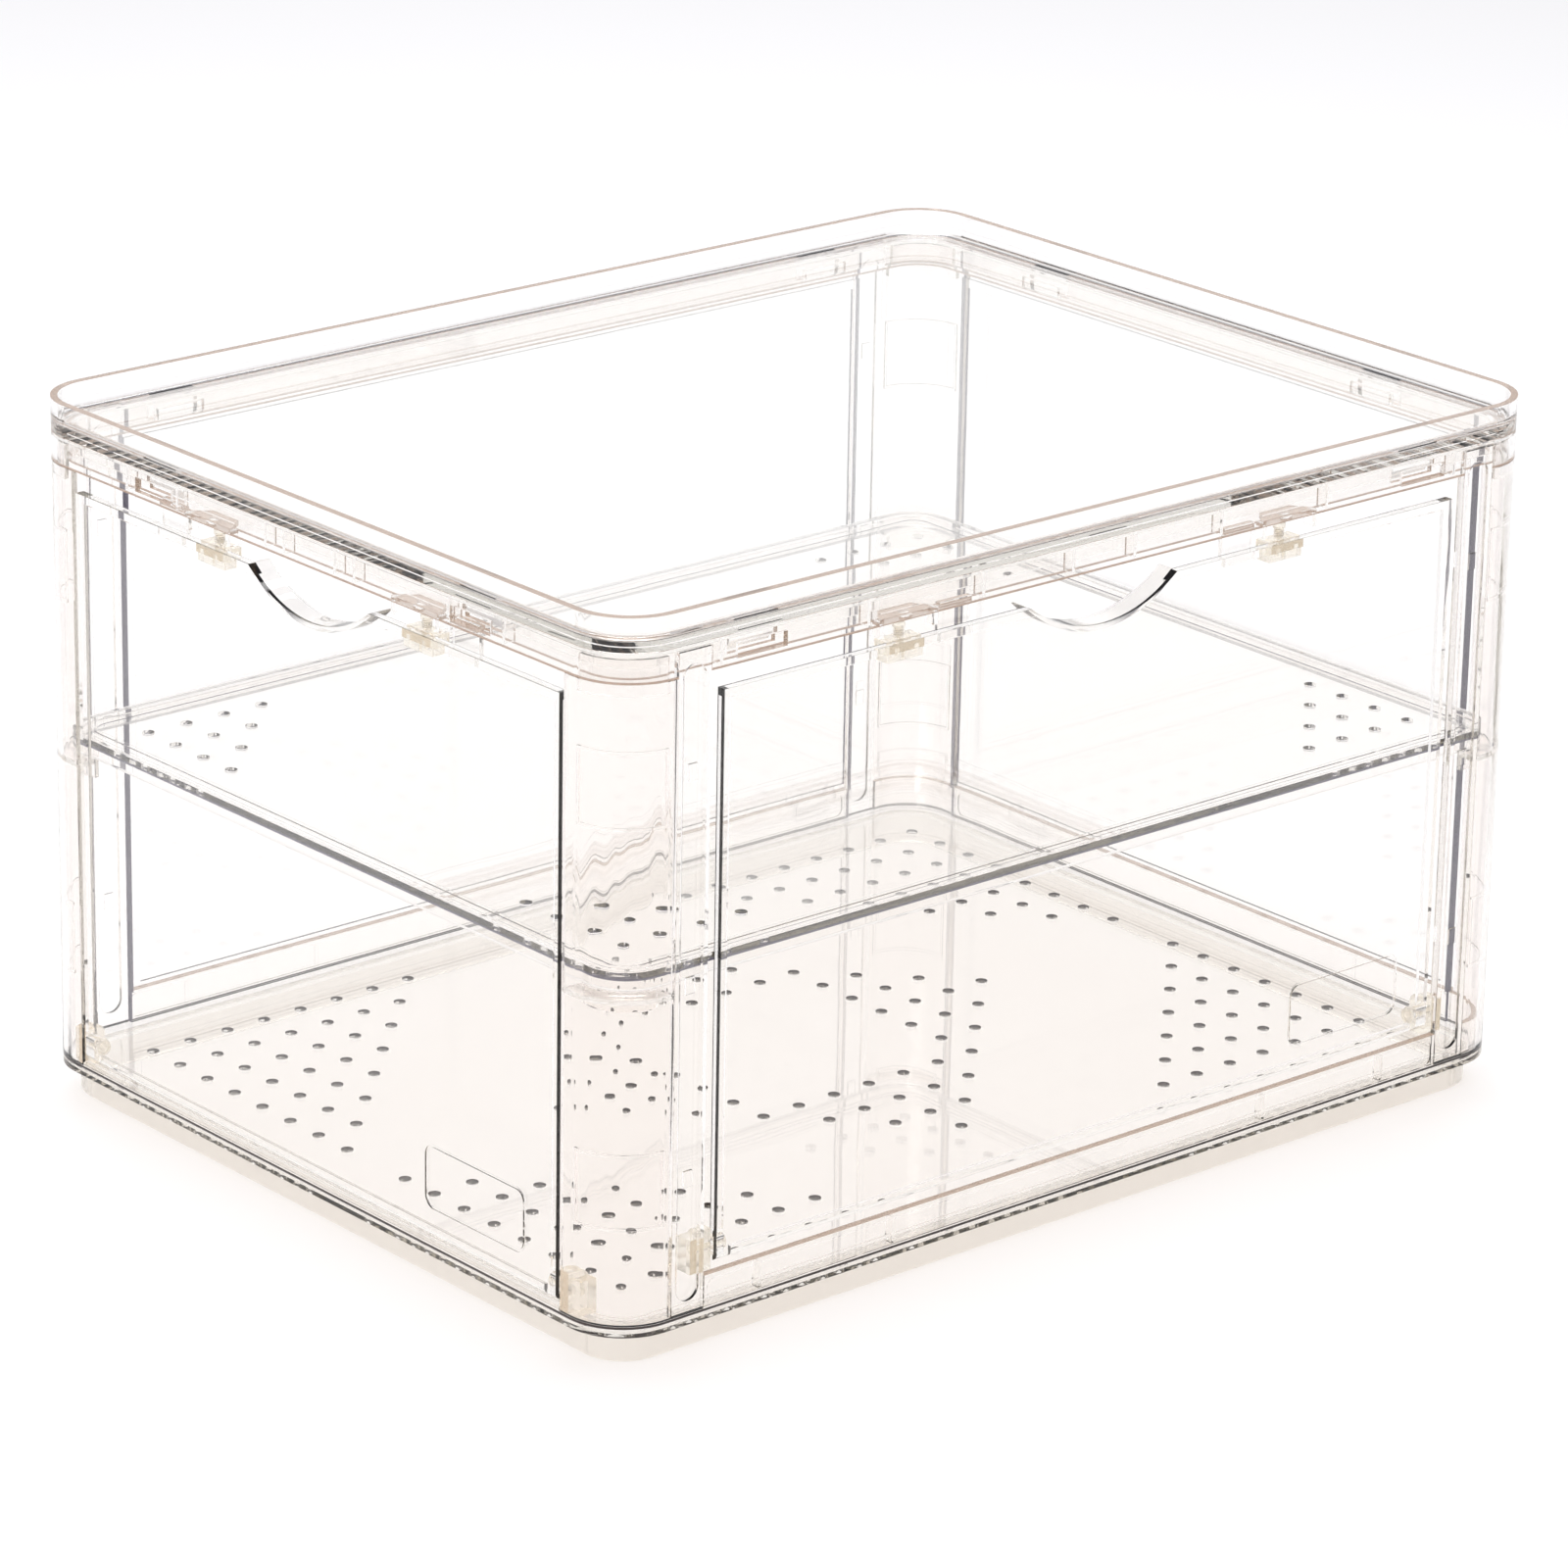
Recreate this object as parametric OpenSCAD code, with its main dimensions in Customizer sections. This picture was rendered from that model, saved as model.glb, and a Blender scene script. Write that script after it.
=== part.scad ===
// Stackable clear shoe box with a mid shelf and two drop-down doors.
// Frame: +X along the wide front, +Y to the back, +Z up. The origin is the centre of the
// footprint, on the surface that the box stands on. The front door is on -Y and the side
// door is on -X. "Inset" always means the distance inwards from the outside face.

/* [Body] */
// Outside width, along the front
box_w = 360; // [350:1:380]
// Outside depth, front to back
box_d = 280; // [270:1:300]
// Outside height, foot to rim
box_h = 223; // [215:1:235]
// Outside radius of the four vertical corners
corner_r = 19; // [18:0.5:22]

/* [Base] */
// Height of the foot ring under the flange
foot_h = 10; // [8:0.5:12]
// How far the foot ring is set in, so that it nests in the rim of a box below
foot_inset = 5.4; // [4.5:0.1:6.5]
// Thickness of the base flange
flange_t = 3.4; // [3:0.1:4]
// Thickness of the floor plate
floor_t = 2.2; // [1.8:0.1:2.6]
// Height of the rails above the flange, under the front door and the fixed panels
rail_h = 10.2; // [9:0.1:10.5]

/* [Lid and top frame] */
// Height of the raised rim, which holds the foot ring of a box above
rim_h = 10.2; // [9:0.1:11]
// Thickness of the rim
rim_t = 2.2; // [1.8:0.1:3]
// Height of the top frame, seam to lower edge
frame_h = 9; // [8.5:0.1:9.5]

/* [Doors] */
// Distance from the front door's edge to the box's outer side
front_post = 37.6; // [37.6:0.2:42]
// Height of the front door's lower edge
front_door_z = 26.4; // [25.6:0.1:28]
// Distance from the side door's edge to the box's front or back
side_post = 25.5; // [24.5:0.5:29]
// Height of the side door's lower edge
side_door_z = 15.9; // [15.7:0.1:18]
// Thickness of a door's pane
pane_t = 1.8; // [1.5:0.1:2]
// Thickness of a door at its raised border
border_t = 3; // [2.6:0.1:3.2]
// Width of the finger notch at the top of a door
notch_w = 57; // [50:1:64]
// Depth of the finger notch
notch_depth = 10; // [8:0.5:11]

/* [Shelf and vents] */
// Height of the underside of the shelf's plate
shelf_z = 115.2; // [100.2:1:130.2]
// Thickness of the shelf's plate
shelf_t = 2.2; // [1.8:0.1:2.6]
// Distance between neighbouring vent holes
vent_pitch = 14.1; // [13.8:0.1:14.3]
// Radius of a vent hole
vent_r = 1.9; // [1.5:0.1:2.2]

/* [Hidden] */
$fn = 64;
FRONT = 0;
RIGHT = 1;
BACK = 2;
LEFT = 3;

clear_tint = [0.93, 0.92, 0.89, 0.35];
frosty_tint = [0.90, 0.87, 0.80, 0.6];

// Levels, from the floor up
floor_top = foot_h + flange_t;
rail_top = floor_top + rail_h;
seam_z = box_h - rim_h;
frame_z = seam_z - frame_h;
door_top = frame_z - 6.5;
lid_t = 2.2;

// Walls of the top frame: an upside-down channel that takes the panels' upper edges
skirt_t = 1.8;
inner_wall_at = 5.4;
inner_wall_t = 1.6;
web_t = 1.4;
lip_at = 7.2;
lip_t = 1.6;
lip_h = 6.3;

// Widths of the doors
front_door_w = box_w - 2 * front_post;
side_door_w = box_d - 2 * side_post;

// Where the corner panels end, and the flat uprights on the front and back
corner_x = box_w / 2 - 21;
side_gap = box_d / 2 - 23.5;
upright_out = corner_x - 0.3;
upright_in = upright_out - 11.5;
upright_t = 3;
wall_t = 2;
panel_at = 2.4;

// Snap hooks of the lid and their windows in the frame, at each end of each side
hook_x = box_w / 2 - 51;
hook_y = box_d / 2 - 65;
hook_w = 16;
window_w = 18;
window_h = 4.4;
window_z = seam_z - 5.2;

// Hinges: the axis runs along a door's lower edge
hinge_inset = 4.6;
hinge_up = 4.4;
pin_r = 1.5;
lug_w = 3.4;
lug_r = 2.8;
block_gap = 0.5;
block_w = 4.2;
block_tail = 3.4;

// Catches at the top of each door
catch_front_x = 74.5;
catch_side_y = 49;
catch_inset = 5.2;
housing_w = 13;
housing_d = 5;
housing_h = 6;
shaft_r = 0.9;
head_r = 1.9;
head_z = door_top + 3.1;
head_h = 1;

shelf_inset = 6;
shelf_rim_h = 3.1;
shelf_skirt_h = 3.4;
ledge_depth = 9;
last_column = 11;
last_row = 8;

// ---- helpers ----

// Half the distance between the two faces that a side belongs to
function half(side) = (side % 2 == 0 ? box_d : box_w) / 2;
function door_w(side) = side == FRONT ? front_door_w : side_door_w;
function door_z(side) = side == FRONT ? front_door_z : side_door_z;
function catch_x(side) = side % 2 == 0 ? catch_front_x : catch_side_y;
// The stops stand between catch and notch on the front, and outside the catches on the side
function stop_x(side) = catch_x(side) + (side == FRONT ? -19 : 20);
function hook_at(side) = side % 2 == 0 ? hook_x : hook_y;

// A frame on one face: X runs along the face and Y is the inset
module on_face(side) rotate([0, 0, 90 * side]) translate([0, -half(side), 0]) children();

// A copy at one corner of what is drawn at the corner on +X and +Y
module at_corner(sx, sy)
    mirror([sx < 0 ? 1 : 0, 0, 0]) mirror([0, sy < 0 ? 1 : 0, 0]) children();

module block(x0, x1, y0, y1, z0, z1) translate([x0, y0, z0]) cube([x1 - x0, y1 - y0, z1 - z0]);

module rounded_rect(w, d, r) {
    square([w - 2 * r, d], center = true);
    square([w, d - 2 * r], center = true);
    for (sx = [-1, 1], sy = [-1, 1])
        translate([sx * (w / 2 - r), sy * (d / 2 - r)]) circle(r);
}

// The box's outline, moved in by an inset
module outline(inset) rounded_rect(box_w - 2 * inset, box_d - 2 * inset, corner_r - inset);

module band(from_inset, to_inset, z0, z1)
    translate([0, 0, z0]) linear_extrude(z1 - z0) difference() {
        outline(from_inset);
        outline(to_inset);
    }

// The part of a band that lies at the corner on +X and +Y, beyond a starting point
module corner_band(from_inset, to_inset, z0, z1, start = [corner_x, side_gap])
    translate([0, 0, z0]) linear_extrude(z1 - z0) intersection() {
        difference() {
            outline(from_inset);
            outline(to_inset);
        }
        translate(start) square([box_w, box_d]);
    }

// A profile drawn as [inset, height], swept round the box's outline
module sweep_round() {
    for (side = [FRONT, RIGHT, BACK, LEFT]) on_face(side)
        translate([corner_r - half(side + 1), 0, 0]) rotate([90, 0, 90])
            linear_extrude(2 * (half(side + 1) - corner_r)) children();
    for (sx = [-1, 1], sy = [-1, 1]) at_corner(sx, sy)
        translate([box_w / 2 - corner_r, box_d / 2 - corner_r, 0])
            rotate_extrude(angle = 90) translate([corner_r, 0]) mirror([1, 0]) children();
}

// What rounds off a lower outside edge at a given inset and height
module edge_cutter(inset, z, r) difference() {
    translate([inset - 1, z - 1]) square(r + 1);
    translate([inset + r, z + r]) circle(r);
}

// A plate drawn on the XZ plane and given a thickness from y0 to y1
module upright_plate(y0, y1) translate([0, y1, 0]) rotate([90, 0, 0]) linear_extrude(y1 - y0) children();

// A slot with round ends, centred, long side along X
module slot(length, width) {
    square([length - width, width], center = true);
    for (s = [-1, 1]) translate([s * (length - width) / 2, 0]) circle(width / 2);
}

// ---- base ----

// Vents fill a triangle in each corner of the floor, and a diamond ring in the middle
module floor_vents()
    for (i = [-last_column:last_column], j = [-last_row:last_row])
        if (abs(i) + abs(j) >= 12 || (abs(i) + abs(j) <= 6 && max(abs(i), abs(j)) >= 3))
            translate([i * vent_pitch, j * vent_pitch]) circle(vent_r, $fn = 24);

// A rail under a fixed panel or the front door, with a sunk face between its ends
module base_rail(half_length) {
    face_margin = 1.2;
    face_sink = 0.5;
    face_low = floor_top + 0.6;
    face_high = rail_top - 1.8;
    difference() {
        block(-half_length, half_length, 0, 2.2, floor_top, rail_top);
        upright_plate(-1, face_sink) translate([0, (face_low + face_high) / 2])
            rounded_rect(2 * (half_length - face_margin), face_high - face_low, 2.4);
    }
    for (s = [-1, 1], x = [hook_x - 4, catch_front_x])
        if (x < half_length) block(s * x - 0.6, s * x + 0.6, 2.2, 5, floor_top, rail_top - 2);
}

module base_tray() color(clear_tint) {
    border = 9;
    foot_t = 2.4;
    foot_r = 1.2;
    band(0, border, foot_h, floor_top);
    translate([0, 0, floor_top - floor_t]) linear_extrude(floor_t) difference() {
        outline(border - 0.5);
        floor_vents();
    }
    difference() {
        band(foot_inset, foot_inset + foot_t, 0, foot_h + 0.4);
        sweep_round() edge_cutter(foot_inset, 0, foot_r);
    }
    on_face(FRONT) base_rail(upright_in - 0.4);
    on_face(BACK) difference() {
        base_rail(upright_in - 0.4);
        block(-box_w, box_w, panel_at - 0.1, 6, floor_top - 1, box_h);
    }
    on_face(RIGHT) difference() {
        base_rail(side_gap - 0.4);
        block(-box_w, box_w, panel_at - 0.1, 6, floor_top - 1, box_h);
    }
    on_face(LEFT) block(-side_gap + 0.6, side_gap - 0.6, 0, 1.8, floor_top, floor_top + 1.2);
    for (sy = [-1, 1]) at_corner(1, sy) corner_band(wall_t + 0.2, wall_t + 1.8, floor_top, rail_top);
}

// ---- top frame ----

// The strike over one catch: a three-sided shelf with a dimple for the plunger's dome, and a
// cheek that hangs down at each end
module strike() {
    half_w = 11;
    cheek_t = 1.6;
    cheek_drop = 4;
    difference() {
        translate([0, 0, frame_z]) linear_extrude(1.6)
            polygon([[-half_w, skirt_t - 0.2], [half_w, skirt_t - 0.2], [6, 9.4], [-6, 9.4]]);
        translate([0, catch_inset, frame_z - 1]) cylinder(h = 1.6, r = head_r + 0.4);
    }
    for (s = [-1, 1])
        block(s * (half_w - cheek_t / 2) - cheek_t / 2, s * (half_w - cheek_t / 2) + cheek_t / 2,
              0.8, 4.8, frame_z - cheek_drop, frame_z + 0.8);
}

// A bent tab that the door closes against
module door_stop(x) {
    block(x - 6, x + 6, border_t + 0.4, border_t + 1.8, door_top - 3.5, frame_z + 1.4);
    block(x - 6, x + 6, border_t + 0.4, inner_wall_at + 0.2, frame_z, frame_z + 1.4);
}

module top_frame() color(clear_tint) {
    difference() {
        union() {
            band(0, skirt_t, frame_z, seam_z);
            band(inner_wall_at, inner_wall_at + inner_wall_t, frame_z, seam_z);
            band(0, inner_wall_at + inner_wall_t, seam_z - web_t, seam_z);
        }
        // windows for the snap hooks, through both walls
        for (side = [FRONT, RIGHT, BACK, LEFT], s = [-1, 1]) on_face(side)
            block(s * hook_at(side) - window_w / 2, s * hook_at(side) + window_w / 2,
                  -1, inner_wall_at + inner_wall_t + 0.5,
                  window_z - window_h / 2, window_z + window_h / 2);
        // notches that the uprights pass through
        for (side = [FRONT, BACK], s = [-1, 1]) on_face(side)
            block(s * (upright_in + upright_out) / 2 - 5.9, s * (upright_in + upright_out) / 2 + 5.9,
                  -1, upright_t + 0.1, frame_z - 1, seam_z - web_t);
    }
    for (side = [FRONT, LEFT], s = [-1, 1]) on_face(side) {
        translate([s * catch_x(side), 0, 0]) strike();
        door_stop(s * stop_x(side));
        for (x = [12, catch_x(side) - 28, catch_x(side) + 15, hook_at(side) + 14])
            block(s * x - 0.6, s * x + 0.6, skirt_t - 0.1, inner_wall_at + 0.1,
                  frame_z + 0.8, seam_z - 0.2);
    }
}

// ---- lid ----

module lid() color(clear_tint) {
    plate_top = seam_z + lid_t;
    fillet_step = 0.1;
    fillet_r = foot_inset - rim_t - 0.2 - fillet_step;
    seam_gap = 0.15;
    band(0, rim_t, seam_z + seam_gap, box_h);
    translate([0, 0, seam_z + seam_gap]) linear_extrude(lid_t - seam_gap) outline(rim_t - 0.5);
    // low pads that rest on the frame, and leave a narrow gap along the seam
    for (side = [FRONT, RIGHT, BACK, LEFT], s = [-1, 1]) on_face(side)
        block(s * hook_at(side) - hook_w / 2, s * hook_at(side) + hook_w / 2, 2, 4,
              seam_z, seam_z + seam_gap + 0.1);
    // a hollow fillet between rim and plate, which centres the foot ring of a box above
    sweep_round() difference() {
        translate([rim_t - 0.2, plate_top - 0.2]) square(fillet_r + fillet_step + 0.2);
        translate([rim_t + fillet_step + fillet_r, plate_top + fillet_step + fillet_r])
            circle(fillet_r);
    }
    band(lip_at, lip_at + lip_t, seam_z - lip_h, seam_z + 0.5);
    for (side = [FRONT, RIGHT, BACK, LEFT], s = [-1, 1]) on_face(side)
        translate([s * hook_at(side) - hook_w / 2, 0, 0]) snap_hook();
}

// A wedge that points outwards from the lid's lip into a window of the frame
module snap_hook() {
    reach = 1.3;
    rotate([90, 0, 90]) linear_extrude(hook_w) polygon([
        [lip_at + 0.2, window_z + 1.8], [lip_at - reach, window_z + 1.8],
        [lip_at - reach, window_z + 1], [lip_at, window_z - 1.8], [lip_at + 0.2, window_z - 1.8],
    ]);
}

// ---- walls ----

module corner_panel(sx, sy) color(clear_tint) at_corner(sx, sy) {
    tongue_top = seam_z - web_t - 1;
    tongue_gap = 0.2;
    arc_start = [box_w / 2 - corner_r, box_d / 2 - corner_r];
    ledge_top = shelf_z - shelf_skirt_h - 0.3;
    corner_band(0, wall_t, floor_top, frame_z - 0.15);
    // tongue along the arc, which reaches up into the channel of the top frame
    corner_band(wall_t - 0.2, wall_t + 1.4, frame_z - 4, frame_z - tongue_gap, arc_start);
    corner_band(wall_t + tongue_gap, wall_t + 1.4, frame_z - 1, tongue_top, arc_start);
    // ledge under the shelf, with its skirt
    corner_band(wall_t - 0.2, ledge_depth, ledge_top - 1.7, ledge_top);
    corner_band(ledge_depth - 1.4, ledge_depth, ledge_top - 6.1, ledge_top - 0.7);
    // frames of the two other heights at which a ledge can be moulded
    for (z = [42, 161]) difference() {
        corner_band(wall_t - 0.2, wall_t + 0.5, z, z + 23, arc_start);
        corner_band(wall_t, wall_t + 2, z + 0.8, z + 22.2, arc_start + [0.8, 0.8]);
    }
}

// A flat strip that locks base, wall and top frame together beside a door or panel
module upright(side, s) color(clear_tint) on_face(side) {
    mid = s * (upright_in + upright_out) / 2;
    width = upright_out - upright_in;
    top = seam_z - web_t - 0.4;
    recess_sink = 1;
    recess_w = width - 3.4;
    low = floor_top + 4;
    high = top - 4;
    difference() {
        block(mid - width / 2, mid + width / 2, 0, upright_t, floor_top, top);
        upright_plate(-1, recess_sink) translate([mid, (low + high) / 2])
            rotate(90) slot(high - low, recess_w);
    }
    for (z = [52, shelf_z - 5, 173])
        block(mid - 1.6, mid + 1.6, 0.4, recess_sink + 0.2, z, z + 5);
}

// A fixed pane with a thin frame, held in the rail below and in the top frame above
module fixed_panel(half_length) {
    top = seam_z - web_t - 0.6;
    block(-half_length, half_length, panel_at, panel_at + pane_t, floor_top, top);
    difference() {
        block(-half_length, half_length, panel_at, panel_at + 2.6, rail_top, frame_z - 2);
        block(-half_length + 3, half_length - 3, panel_at, panel_at + 3,
              rail_top + 3, frame_z - 5);
    }
}

module back_panel() color(clear_tint) on_face(BACK) fixed_panel(upright_in - 0.4);

module right_panel() color(clear_tint) on_face(RIGHT) fixed_panel(side_gap - 0.4);

// ---- shelf ----

// Ten vents in a triangle in each corner of the shelf
module shelf_vents()
    for (i = [-last_column:last_column], j = [-last_row:last_row])
        if (abs(i) + abs(j) >= 16) translate([i * vent_pitch, j * vent_pitch])
            circle(vent_r, $fn = 24);

module shelf() color(clear_tint) {
    rim_w = 2.6;
    skirt_r = 1.6;
    skirt_low = shelf_z - shelf_skirt_h;
    bead_at = shelf_inset + 6;
    difference() {
        union() {
            translate([0, 0, shelf_z]) linear_extrude(shelf_t) outline(shelf_inset);
            band(shelf_inset, shelf_inset + rim_w, skirt_low, shelf_z + shelf_rim_h);
            band(bead_at, bead_at + 1.2, shelf_z + shelf_t - 0.2, shelf_z + shelf_t + 0.5);
        }
        translate([0, 0, shelf_z - 1]) linear_extrude(shelf_rim_h + 2) shelf_vents();
        sweep_round() edge_cutter(shelf_inset, skirt_low, skirt_r);
    }
}

// ---- doors ----

// The disc that cuts the door's upper edge over a given width, to a given depth
module notch_disc(width, depth) {
    r = (pow(width / 2, 2) + pow(depth, 2)) / (2 * depth);
    translate([0, door_top - depth + r]) circle(r, $fn = 128);
}

// The raised border on a door's inner side, left open beside the lugs
module door_border(w, z0) {
    border_w = 3;
    lug_space = 6;
    difference() {
        translate([-w / 2, z0]) square([w, door_top - z0]);
        translate([-w / 2 + border_w, z0 + border_w])
            square([w - 2 * border_w, door_top - z0 - 2 * border_w]);
        for (s = [-1, 1]) translate([s * (w / 2 - lug_space / 2), z0 + border_w])
            square([lug_space, 4 * border_w], center = true);
        notch_disc(notch_w, notch_depth);
    }
}

// The edge of a blank name plate: a shallow groove round a rounded rectangle
module blank_plate(w, z0) translate([w / 2 - 37, z0 + 19]) difference() {
    rounded_rect(46, 20, 4);
    rounded_rect(44.4, 18.4, 3.2);
}

module door(side) on_face(side) {
    w = door_w(side);
    z0 = door_z(side);
    lip_reach = 8;
    lip_w = 2;
    lip_tip = 0.8;
    edge_r = 2.5;
    groove = 0.5;
    axis_z = z0 + hinge_up;
    difference() {
        union() {
            upright_plate(0, pane_t) difference() {
                translate([-w / 2, z0]) square([w, door_top - z0]);
                notch_disc(notch_w, notch_depth);
            }
            upright_plate(pane_t - 0.2, border_t) door_border(w, z0);
            upright_plate(0, lip_reach) intersection() {
                difference() {
                    notch_disc(notch_w + 2 * lip_tip, notch_depth + lip_w);
                    notch_disc(notch_w, notch_depth);
                }
                translate([-notch_w, z0]) square([2 * notch_w, door_top - z0]);
            }
            for (s = [-1, 1]) translate([s * (w - lug_w) / 2 - lug_w / 2, 0, axis_z])
                rotate([90, 0, 90]) linear_extrude(lug_w) {
                    translate([hinge_inset, 0]) circle(lug_r);
                    translate([pane_t - 0.2, -lug_r]) square([hinge_inset - pane_t + 0.2, 2 * lug_r]);
                }
        }
        // the lower outside edge is rounded, so that it clears the sill as the door drops
        translate([-w, 0, z0]) rotate([90, 0, 90]) linear_extrude(2 * w) edge_cutter(0, 0, edge_r);
        for (s = [-1, 1]) translate([s * (w / 2 - lug_w - 1), hinge_inset, axis_z])
            rotate([0, s * 90, 0]) cylinder(h = lug_w + 2, r = pin_r + 0.05);
        upright_plate(-1, groove) blank_plate(w, z0);
    }
}

module front_door() color(clear_tint) door(FRONT);

module side_door() color(clear_tint) door(LEFT);

// ---- hinges ----

// The block beside a door's lower corner, on the +X end of the face
module hinge_block(side, s) color(frosty_tint) on_face(side) mirror([s < 0 ? 1 : 0, 0, 0]) {
    u0 = door_w(side) / 2 + block_gap;
    inner = hinge_inset + 3.9;
    low = -6.9;
    high = 5.6;
    round_r = 3;
    translate([0, 0, door_z(side) + hinge_up]) {
        difference() {
            translate([u0, 0, 0]) rotate([90, 0, 90]) linear_extrude(block_w) {
                translate([wall_t, low]) square([inner - wall_t, high - low - round_r]);
                translate([wall_t, low]) square([inner - wall_t - round_r, high - low]);
                translate([inner - round_r, high - round_r]) circle(round_r);
            }
            translate([u0 - 1, hinge_inset, 0]) rotate([0, 90, 0])
                cylinder(h = block_w + 2, r = pin_r + 0.02);
        }
        block(u0 + block_w, u0 + block_w + block_tail, upright_t, inner, low, high - 2);
    }
}

// The pin is fixed in the block, and the door's lug turns on it behind a small head
module hinge_pin(side, s) color(frosty_tint) on_face(side) mirror([s < 0 ? 1 : 0, 0, 0]) {
    lug_inner = door_w(side) / 2 - lug_w;
    head_t = 1;
    head_gap = 0.3;
    translate([lug_inner - head_gap, hinge_inset, door_z(side) + hinge_up]) rotate([0, 90, 0]) {
        cylinder(h = lug_w + head_gap + block_gap + block_w - 0.2, r = pin_r);
        translate([0, 0, -head_t]) cylinder(h = head_t, r = 2.4);
    }
}

// ---- catches ----

// The block on a door that guides a catch's plunger
module catch_housing(side, s) color(frosty_tint) on_face(side)
    translate([s * catch_x(side), 0, 0]) difference() {
        block(-housing_w / 2, housing_w / 2, border_t, border_t + housing_d,
              door_top - housing_h, door_top);
        translate([0, catch_inset, door_top - housing_h - 1])
            cylinder(h = housing_h + 2, r = shaft_r + 0.05);
        for (t = [-1, 1]) block(t * 3.6 - 0.8, t * 3.6 + 0.8, border_t - 1, border_t + housing_d + 1,
                                door_top - 4.4, door_top - 1.8);
    }

// The plunger: a shaft through the housing and a domed head that the spring lifts
module catch_plunger(side, s) color(frosty_tint) on_face(side)
    translate([s * catch_x(side), catch_inset, 0]) {
        translate([0, 0, door_top - housing_h + 0.5]) cylinder(h = head_z - door_top + housing_h, r = shaft_r);
        translate([0, 0, head_z]) cylinder(h = head_h, r = head_r);
        translate([0, 0, head_z + head_h]) intersection() {
            sphere(head_r);
            cylinder(h = head_r, r = head_r);
        }
    }

// The spring between housing and head, as a sleeve with one ring for each turn
module catch_spring(side, s) color(frosty_tint) on_face(side)
    translate([s * catch_x(side), catch_inset, door_top]) {
        turns = 5;
        height = head_z - door_top;
        rotate_extrude() translate([shaft_r + 0.15, 0]) square([0.4, height]);
        for (k = [0:turns - 1]) translate([0, 0, (k + 0.5) * height / turns])
            rotate_extrude() translate([shaft_r + 0.5, 0]) circle(0.22, $fn = 24);
    }

// ---- the nodes ----

module corner_panel_front_left() corner_panel(-1, -1);
module corner_panel_front_right() corner_panel(1, -1);
module corner_panel_back_right() corner_panel(1, 1);
module corner_panel_back_left() corner_panel(-1, 1);
module upright_front_left() upright(FRONT, -1);
module upright_front_right() upright(FRONT, 1);
module upright_back_right() upright(BACK, -1);
module upright_back_left() upright(BACK, 1);
module hinge_block_front_left() hinge_block(FRONT, -1);
module hinge_block_front_right() hinge_block(FRONT, 1);
module hinge_block_side_front() hinge_block(LEFT, 1);
module hinge_block_side_back() hinge_block(LEFT, -1);
module hinge_pin_front_left() hinge_pin(FRONT, -1);
module hinge_pin_front_right() hinge_pin(FRONT, 1);
module hinge_pin_side_front() hinge_pin(LEFT, 1);
module hinge_pin_side_back() hinge_pin(LEFT, -1);
module catch_housing_front_left() catch_housing(FRONT, -1);
module catch_housing_front_right() catch_housing(FRONT, 1);
module catch_housing_side_front() catch_housing(LEFT, 1);
module catch_housing_side_back() catch_housing(LEFT, -1);
module catch_plunger_front_left() catch_plunger(FRONT, -1);
module catch_plunger_front_right() catch_plunger(FRONT, 1);
module catch_plunger_side_front() catch_plunger(LEFT, 1);
module catch_plunger_side_back() catch_plunger(LEFT, -1);
module catch_spring_front_left() catch_spring(FRONT, -1);
module catch_spring_front_right() catch_spring(FRONT, 1);
module catch_spring_side_front() catch_spring(LEFT, 1);
module catch_spring_side_back() catch_spring(LEFT, -1);

base_tray();
top_frame();
lid();
shelf();
back_panel();
right_panel();
corner_panel_front_left();
corner_panel_front_right();
corner_panel_back_right();
corner_panel_back_left();
upright_front_left();
upright_front_right();
upright_back_right();
upright_back_left();
front_door();
side_door();
hinge_block_front_left();
hinge_block_front_right();
hinge_block_side_front();
hinge_block_side_back();
hinge_pin_front_left();
hinge_pin_front_right();
hinge_pin_side_front();
hinge_pin_side_back();
catch_housing_front_left();
catch_housing_front_right();
catch_housing_side_front();
catch_housing_side_back();
catch_plunger_front_left();
catch_plunger_front_right();
catch_plunger_side_front();
catch_plunger_side_back();
catch_spring_front_left();
catch_spring_front_right();
catch_spring_side_front();
catch_spring_side_back();
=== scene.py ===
# %% [markdown]
# # A clear stacking shoe box
#
# The real object is a crate of clear moulded plastic: a vented floor tray, four corner panels, a
# top frame and a lid, with a mid shelf inside and two doors that drop on pins. Almost all of its
# look comes from light that bends through thin walls, so this file has few new shapes and spends
# its effort on the plastic, on the light and on the small springs of the catches.
# Everything is in metres, in the frame of the CAD model: +X to the right along the wide front,
# +Y to the back, +Z up, with the origin under the middle of the box.

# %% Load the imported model
import math
import bpy
import numpy as np
from mathutils import Matrix, Vector


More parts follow.
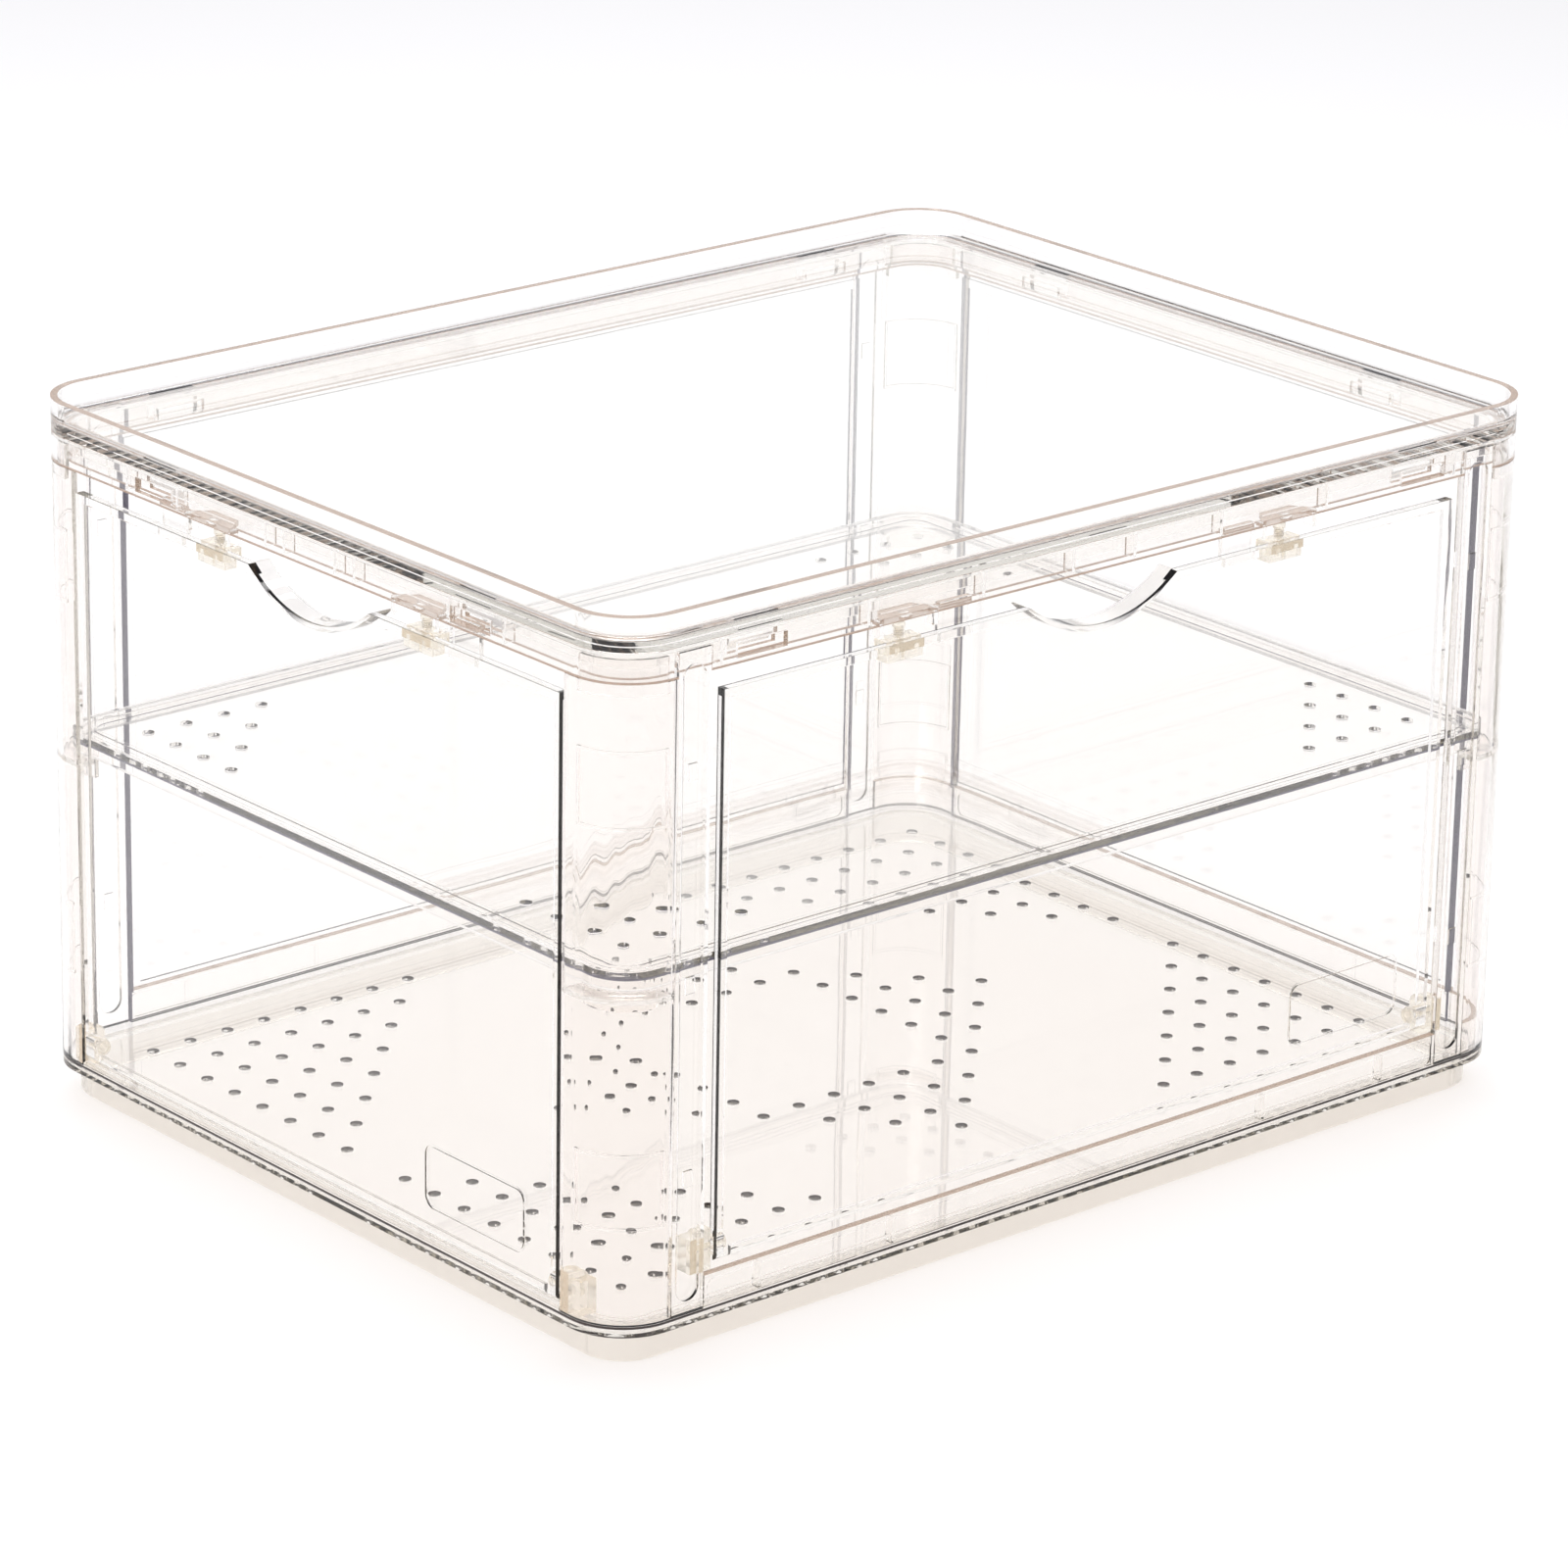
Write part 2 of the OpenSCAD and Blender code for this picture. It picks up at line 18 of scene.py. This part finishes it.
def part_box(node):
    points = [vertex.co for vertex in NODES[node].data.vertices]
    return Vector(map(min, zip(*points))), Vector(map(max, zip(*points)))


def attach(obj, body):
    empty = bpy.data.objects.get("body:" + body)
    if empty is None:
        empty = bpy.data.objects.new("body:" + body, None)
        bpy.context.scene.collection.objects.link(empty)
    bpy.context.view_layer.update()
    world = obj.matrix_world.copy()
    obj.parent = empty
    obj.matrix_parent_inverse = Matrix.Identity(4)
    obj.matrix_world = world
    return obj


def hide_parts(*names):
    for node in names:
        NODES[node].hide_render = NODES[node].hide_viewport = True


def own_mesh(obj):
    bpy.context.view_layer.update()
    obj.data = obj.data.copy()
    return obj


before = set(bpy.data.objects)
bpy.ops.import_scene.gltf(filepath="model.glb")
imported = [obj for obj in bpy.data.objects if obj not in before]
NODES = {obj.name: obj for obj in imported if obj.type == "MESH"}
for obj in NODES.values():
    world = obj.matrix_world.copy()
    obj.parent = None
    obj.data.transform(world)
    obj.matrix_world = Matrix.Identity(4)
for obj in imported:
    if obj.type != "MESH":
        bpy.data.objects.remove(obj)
bpy.context.view_layer.update()
scene = bpy.context.scene
MM = 0.001
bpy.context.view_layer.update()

# %% [markdown]
# ## Colour and node helpers
#
# Screens store colours as sRGB, while light is added up in linear values, so one function turns a
# hex colour into linear numbers. One more function adds a node, sets its inputs by name and links
# them, which keeps every material below to a few readable lines.

# %% Helpers
def linear(hex_colour):
    """sRGB hex to linear RGBA: c / 12.92 in the darkest part, ((c + 0.055) / 1.055) ^ 2.4 above."""
    parts = [int(hex_colour[i:i + 2], 16) / 255 for i in (1, 3, 5)]
    return (*[c / 12.92 if c <= 0.04045 else ((c + 0.055) / 1.055) ** 2.4 for c in parts], 1.0)


def add_node(tree, kind, inputs=(), **settings):
    """Adds one node. A value that is an output socket is linked, and any other value is set."""
    node = tree.nodes.new(kind)
    for name, value in settings.items():
        setattr(node, name, value)
    for name, value in dict(inputs).items():
        if isinstance(value, bpy.types.NodeSocket):
            tree.links.new(value, node.inputs[name])
        else:
            node.inputs[name].default_value = value
    return node


def new_material(name):
    """An empty node material with its output node."""
    material = bpy.data.materials.new(name)
    material.use_nodes = True
    material.node_tree.nodes.clear()
    return material, material.node_tree, add_node(material.node_tree, "ShaderNodeOutputMaterial")


# %% [markdown]
# ## The clear plastic
#
# The walls are taken to be crystal styrene, moulded against polished steel. It bends light a little
# more than glass does (IOR 1.59), it is nearly colourless with a warm cast that only shows where many
# walls lie behind each other, and its flow in the mould leaves long, very shallow waves. A Principled
# shader with full transmission gives that. Lamps and the white floor see a plain transparent shader
# instead, because light that has to find its way through bent walls would leave the inside dark.
#
# Bent light draws dark lines along many edges of the clear walls, and some of them are painted shade
# here: a piece may have bands painted brown, slate or nearly black and made a little rougher, at the
# lower edge of the top frame, the top of the lid's rim, the shelf's edge, the tops of the rails, the
# door edges and the upright edges of the back and right panels. The tray's dark band at 13 mm is
# painted shade for a dark line that the CAD has no shape for, and the tray's lowest 10 mm get a faint
# beige cast. A band lies where each of its coordinates is near a level, and has a colour and a cover,
# which is how much of the clearness it takes away.

# %% Clear styrene
def shade_and_tint_bands(tree, place, bands, tint, roughness, clearness):
    """Sockets for a clear plastic that is roughened and tinted in its bands, which are (limits,
    colour, cover); the tints are mostly painted shade.
    A limit is (axis, level, half width) in mm, and a band is the product of its limits, where each
    is 1 if |coordinate - level| <= half width and 0 elsewhere. No bands give plain constants."""
    colour, clear, rough = linear(tint), clearness, roughness
    axes = add_node(tree, "ShaderNodeSeparateXYZ", {0: place})
    for limits, hex_colour, cover in bands:
        inside = 1.0
        for axis, level, half in limits:
            near = add_node(tree, "ShaderNodeMath", {
                0: axes.outputs[axis], 1: level * MM, 2: half * MM}, operation="COMPARE")
            inside = add_node(tree, "ShaderNodeMath", {0: near.outputs[0], 1: inside},
                              operation="MULTIPLY").outputs[0]
        # Mix in the band's colour: painted shade for the dark lines at edges, apart from the tray's
        # faint beige cast.
        blend = add_node(tree, "ShaderNodeMix", {"Factor": inside, 6: colour,
                                                 7: linear(hex_colour)}, data_type="RGBA")
        fade = add_node(tree, "ShaderNodeMath", {0: inside, 1: -cover, 2: clear},
                        operation="MULTIPLY_ADD", use_clamp=True)
        grind = add_node(tree, "ShaderNodeMath", {0: inside, 1: 0.25, 2: rough},
                         operation="MULTIPLY_ADD")
        colour, clear, rough = blend.outputs[2], fade.outputs[0], grind.outputs[0]
    return colour, clear, rough


def moulded_clear(name, bands=(), tint="#FEFDFC", wave_mm=45, wave_height_mm=0.03, stretch=1.0,
                  roughness=0.0, clearness=1.0, absorbed=16.0):
    """Clear plastic whose height is long waves of noise, drawn out along Z by the stretch."""
    material, tree, out = new_material(name)
    place = add_node(tree, "ShaderNodeTexCoord").outputs["Object"]
    drawn = add_node(tree, "ShaderNodeMapping", {"Vector": place, "Scale": (1, 1, 1 / stretch)})
    waves = add_node(tree, "ShaderNodeTexNoise", {
        "Vector": drawn.outputs[0], "Scale": 1 / (wave_mm * MM), "Detail": 1.0})
    bump = add_node(tree, "ShaderNodeBump", {"Height": waves.outputs["Fac"], "Strength": 1.0,
                                             "Distance": wave_height_mm * MM})
    colour, clear, rough = shade_and_tint_bands(tree, place, bands, tint, roughness, clearness)
    plastic = add_node(tree, "ShaderNodeBsdfPrincipled", {
        "Base Color": colour, "Roughness": rough, "IOR": 1.59,
        "Transmission Weight": clear, "Normal": bump.outputs["Normal"]})
    passed = add_node(tree, "ShaderNodeBsdfTransparent", {"Color": linear("#FDFCFB")})
    path = add_node(tree, "ShaderNodeLightPath")
    for_lamps = add_node(tree, "ShaderNodeMixShader", {
        0: path.outputs["Is Shadow Ray"], 1: plastic.outputs[0], 2: passed.outputs[0]})
    for_floor = add_node(tree, "ShaderNodeMixShader", {
        0: path.outputs["Is Diffuse Ray"], 1: for_lamps.outputs[0], 2: passed.outputs[0]})
    tree.links.new(for_floor.outputs[0], out.inputs["Surface"])
    inside = add_node(tree, "ShaderNodeVolumeAbsorption", {
        "Color": (0.62, 0.595, 0.53, 1), "Density": absorbed})
    tree.links.new(inside.outputs[0], out.inputs["Volume"])
    return material


X, Y, Z = 0, 1, 2
BROWN, DARK, SLATE, BEIGE = "#B59C8A", "#120C0C", "#5A5668", "#F2EEE8"
door_low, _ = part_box("front_door")
side_low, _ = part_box("side_door")
back_low, back_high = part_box("back_panel")
right_low, right_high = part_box("right_panel")

clear_styrene = moulded_clear("clear_moulded_styrene")
flowed_styrene = moulded_clear("flowed_moulded_styrene", tint="#FDFAF8", wave_mm=12,
                               wave_height_mm=0.7, stretch=14, absorbed=26.0)
# The brown band round the top of the lid's rim is painted shade for the dark line that bent light
# draws there.
lid_styrene = moulded_clear("lid_styrene", [([(Z, 223.0, 0.12)], BROWN, 0.5)],
                            wave_mm=60, wave_height_mm=0.05, absorbed=3.0)
# The brown band at the top frame's lower edge, 203.8 mm up, is painted shade.
frame_styrene = moulded_clear("top_frame_styrene", [([(Z, 203.8, 0.3)], BROWN, 0.6)],
                              absorbed=26.0)
# The slate band round the shelf's edge is painted shade for the dark band that the edge shows through
# the walls.
shelf_styrene = moulded_clear("shelf_styrene", [([(Z, 115.9, 0.35)], SLATE, 0.8)])
# On the tray, the brown band at the rail tops and the near-black band at 13 mm are painted shade; the
# lowest 10 mm get a faint beige cast.
tray_styrene = moulded_clear("base_tray_styrene", [
    ([(Z, 23.6, 0.15)], BROWN, 0.4), ([(Z, 12.95, 0.38)], "#2A1A18", 1.0),
    ([(Z, 5.0, 4.95)], BEIGE, 0.1)], absorbed=20.0)
# The near-black strips down one upright edge of each door are painted shade for the dark lines that
# bent light draws at the door edges.
front_styrene = moulded_clear("front_door_styrene", [
    ([(X, door_low.x / MM, 0.25), (Y, door_low.y / MM + 0.75, 0.6)], DARK, 1.0)])
side_styrene = moulded_clear("side_door_styrene", [
    ([(Y, side_low.y / MM, 0.25), (X, side_low.x / MM + 0.75, 0.6)], DARK, 1.0)])
# The slate bands down both upright edges of the back and right panels are painted shade.
back_styrene = moulded_clear("back_panel_styrene", [
    ([(X, back_low.x / MM, 0.3)], SLATE, 0.8), ([(X, back_high.x / MM, 0.3)], SLATE, 0.8)])
right_styrene = moulded_clear("right_panel_styrene", [
    ([(Y, right_low.y / MM, 0.3)], SLATE, 0.8), ([(Y, right_high.y / MM, 0.3)], SLATE, 0.8)])
cloudy_styrene = moulded_clear("cloudy_moulded_styrene", tint="#F9F5EC", wave_mm=2,
                               wave_height_mm=0.01, roughness=0.12, clearness=0.86, absorbed=0.0)
print("clear materials:", sorted(m.name for m in bpy.data.materials if m.name.endswith("styrene")))

# %% [markdown]
# ## Natural acetal
#
# The springs under the catches are drawn here as coils, taken to be milky natural acetal.

# %% Acetal
def natural_acetal():
    """Milky plastic: some light scatters under the surface, and fine noise breaks up the gloss."""
    material, tree, out = new_material("natural_acetal")
    place = add_node(tree, "ShaderNodeTexCoord").outputs["Object"]
    grain = add_node(tree, "ShaderNodeTexNoise", {"Vector": place, "Scale": 1 / (0.4 * MM)})
    rough = add_node(tree, "ShaderNodeMapRange", {"Value": grain.outputs["Fac"],
                                                  "To Min": 0.22, "To Max": 0.38})
    plastic = add_node(tree, "ShaderNodeBsdfPrincipled", {
        "Base Color": linear("#EFE8DC"), "Roughness": rough.outputs[0], "IOR": 1.48,
        "Transmission Weight": 0.35})
    tree.links.new(plastic.outputs[0], out.inputs["Surface"])
    return material


acetal = natural_acetal()

# %% Give each CAD node its plastic
PLASTIC = {
    "hinge_": cloudy_styrene, "catch_": cloudy_styrene, "corner_panel": flowed_styrene,
    "front_door": front_styrene, "side_door": side_styrene, "lid": lid_styrene,
    "top_frame": frame_styrene, "base_tray": tray_styrene, "shelf": shelf_styrene,
    "back_panel": back_styrene, "right_panel": right_styrene,
}
for name, node in NODES.items():
    material = next((m for start, m in PLASTIC.items() if name.startswith(start)), clear_styrene)
    for place in node.material_slots:
        place.material = material
print("nodes by material:", {m.name: m.users for m in bpy.data.materials if m.users})

# %% [markdown]
# ## Catch springs
#
# The CAD stand-in for each spring is a sleeve with rings. Here it is a wire wound round the
# plunger. A tube along a helix gives it: the centre line is a circle that rises evenly, and each
# ring of the tube lies in the plane across the line. The ends close with a flat disc.

# %% The helix
def wire_helix(radius, wire, bottom, top, turns, steps=28, sides=10):
    """Points of a tube along (r cos a, r sin a, z), with a from 0 to 2 pi turns and z rising evenly.
    Each ring is: centre + wire * (outwards * cos b + across * sin b)."""
    a = np.linspace(0, 2 * math.pi * turns, int(steps * turns) + 1)[:, None]
    b = np.linspace(0, 2 * math.pi, sides, endpoint=False)[None, :]
    rise = (top - bottom - 2 * wire) / (2 * math.pi * turns)
    out = np.stack([np.cos(a), np.sin(a), 0 * a], -1)
    along = np.stack([-radius * np.sin(a), radius * np.cos(a), rise + 0 * a], -1)
    along /= np.linalg.norm(along, axis=-1, keepdims=True)
    across = np.cross(along, out)
    centre = radius * out + np.stack([0 * a, 0 * a, bottom + wire + rise * a], -1)
    tube = centre + wire * (out * np.cos(b)[..., None] + across * np.sin(b)[..., None])
    return tube.reshape(-1, 3), tube.shape[0], sides


def tube_mesh(name, points, rings, sides):
    """A closed mesh from rings of points: four-sided faces along it and one face at each end."""
    i, j = np.meshgrid(np.arange(rings - 1), np.arange(sides), indexing="ij")
    k = (j + 1) % sides
    faces = np.stack([i * sides + j, (i + 1) * sides + j, (i + 1) * sides + k, i * sides + k], -1)
    last = (rings - 1) * sides
    ends = [list(range(sides)), [last + s for s in reversed(range(sides))]]
    mesh = bpy.data.meshes.new(name)
    mesh.from_pydata(points.tolist(), [], faces.reshape(-1, 4).tolist() + ends)
    mesh.update()
    made = bpy.data.objects.new(name, mesh)
    scene.collection.objects.link(made)
    return made


# %% One spring under each catch's head
CATCHES = ("front_left", "front_right", "side_front", "side_back")
COIL_RADIUS, WIRE_RADIUS, COIL_TURNS = 1.35 * MM, 0.24 * MM, 4.5
for where in CATCHES:
    sleeve_low, sleeve_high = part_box("catch_spring_" + where)
    middle = (sleeve_low + sleeve_high) / 2
    points, rings, sides = wire_helix(COIL_RADIUS, WIRE_RADIUS, sleeve_low.z, sleeve_high.z,
                                      COIL_TURNS)
    spring = tube_mesh("spring_coil_" + where, points + [middle.x, middle.y, 0], rings, sides)
    spring.data.materials.append(acetal)
    spring.data.polygons.foreach_set("use_smooth", [True] * len(spring.data.polygons))
    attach(spring, "front_door" if where.startswith("front") else "side_door")
    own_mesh(spring)
    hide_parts("catch_spring_" + where)

# %% [markdown]
# ## Floor, light and camera
#
# A pale sweep of floor and a bright band of sky near the horizon make the clear walls vanish, and
# the darker zone above them gives the edges and the vents their dark lines.

# %% Floor
def pale_floor():
    """A wide square just under the box."""
    half = 6.0
    mesh = bpy.data.meshes.new("floor")
    corners = [(-half, -half, 0), (half, -half, 0), (half, half, 0), (-half, half, 0)]
    mesh.from_pydata(corners, [], [(0, 1, 2, 3)])
    made = bpy.data.objects.new("floor", mesh)
    scene.collection.objects.link(made)
    material, tree, out = new_material("white_floor")
    paint = add_node(tree, "ShaderNodeBsdfDiffuse", {"Color": linear("#F8F8F8")})
    tree.links.new(paint.outputs[0], out.inputs["Surface"])
    mesh.materials.append(material)
    return made


floor = pale_floor()

# %% Sky
def studio_sky():
    """White up to 22 degrees over the horizon, then falling to a dim grey at 45 degrees."""
    world = bpy.data.worlds.new("studio")
    world.use_nodes = True
    tree = world.node_tree
    tree.nodes.clear()
    up = add_node(tree, "ShaderNodeSeparateXYZ",
                  {0: add_node(tree, "ShaderNodeTexCoord").outputs["Generated"]}).outputs["Z"]
    fall = add_node(tree, "ShaderNodeMapRange", {
        "Value": up, "From Min": math.sin(math.radians(22)), "From Max": math.sin(math.radians(45)),
        "To Min": 0.0, "To Max": 1.0}, interpolation_type="SMOOTHSTEP")
    hue = add_node(tree, "ShaderNodeMix", {"Factor": fall.outputs[0], 6: linear("#FFFFFF"),
                                           7: linear("#7A7880")}, data_type="RGBA")
    back = add_node(tree, "ShaderNodeBackground", {"Color": hue.outputs[2], "Strength": 1.1})
    out = add_node(tree, "ShaderNodeOutputWorld", {"Surface": back.outputs[0]})
    scene.world = world
    return out


studio_sky()

# %% Lamps
def softbox(name, place, size, power):
    """A square lamp that faces the middle of the box."""
    light = bpy.data.lights.new(name, "AREA")
    light.shape = "SQUARE"
    light.size = size
    light.energy = power
    lamp = bpy.data.objects.new(name, light)
    lamp.location = place
    lamp.rotation_euler = (Vector((0, 0, 0.1)) - Vector(place)).to_track_quat("-Z", "Y").to_euler()
    scene.collection.objects.link(lamp)


softbox("top_softbox", (0.3, 0.4, 2.4), 1.6, 45)
softbox("side_softbox", (-2.2, -0.8, 1.6), 1.0, 14)

# %% Camera
def fitted_camera(place, azimuth, elevation, roll, lens):
    """Looks along -b, where b = (sin a cos e, -cos a cos e, sin e), then turns by roll about it."""
    a, e, r = (math.radians(x) for x in (azimuth, elevation, roll))
    back = Vector((math.sin(a) * math.cos(e), -math.cos(a) * math.cos(e), math.sin(e)))
    right = (-back).cross(Vector((0, 0, 1))).normalized()
    up = back.cross(right)
    image_right = math.cos(r) * right - math.sin(r) * up
    image_up = math.sin(r) * right + math.cos(r) * up
    data = bpy.data.cameras.new("camera")
    data.sensor_width = 36
    data.lens = lens
    data.clip_end = 50
    camera = bpy.data.objects.new("camera", data)
    camera.matrix_world = Matrix.Translation(place) @ Matrix(
        [image_right, image_up, back]).transposed().to_4x4()
    scene.collection.objects.link(camera)
    scene.camera = camera


fitted_camera((-1.2813, -1.4794, 0.8051), -40.916, 19.858, -1.049, 156.17)

# %% Light paths and the picture's tone
scene.cycles.max_bounces = 64
scene.cycles.transmission_bounces = 48
scene.cycles.glossy_bounces = 48
scene.cycles.transparent_max_bounces = 64
scene.cycles.caustics_refractive = True
scene.cycles.caustics_reflective = True
scene.cycles.use_denoising = True
scene.view_settings.view_transform = "Standard"
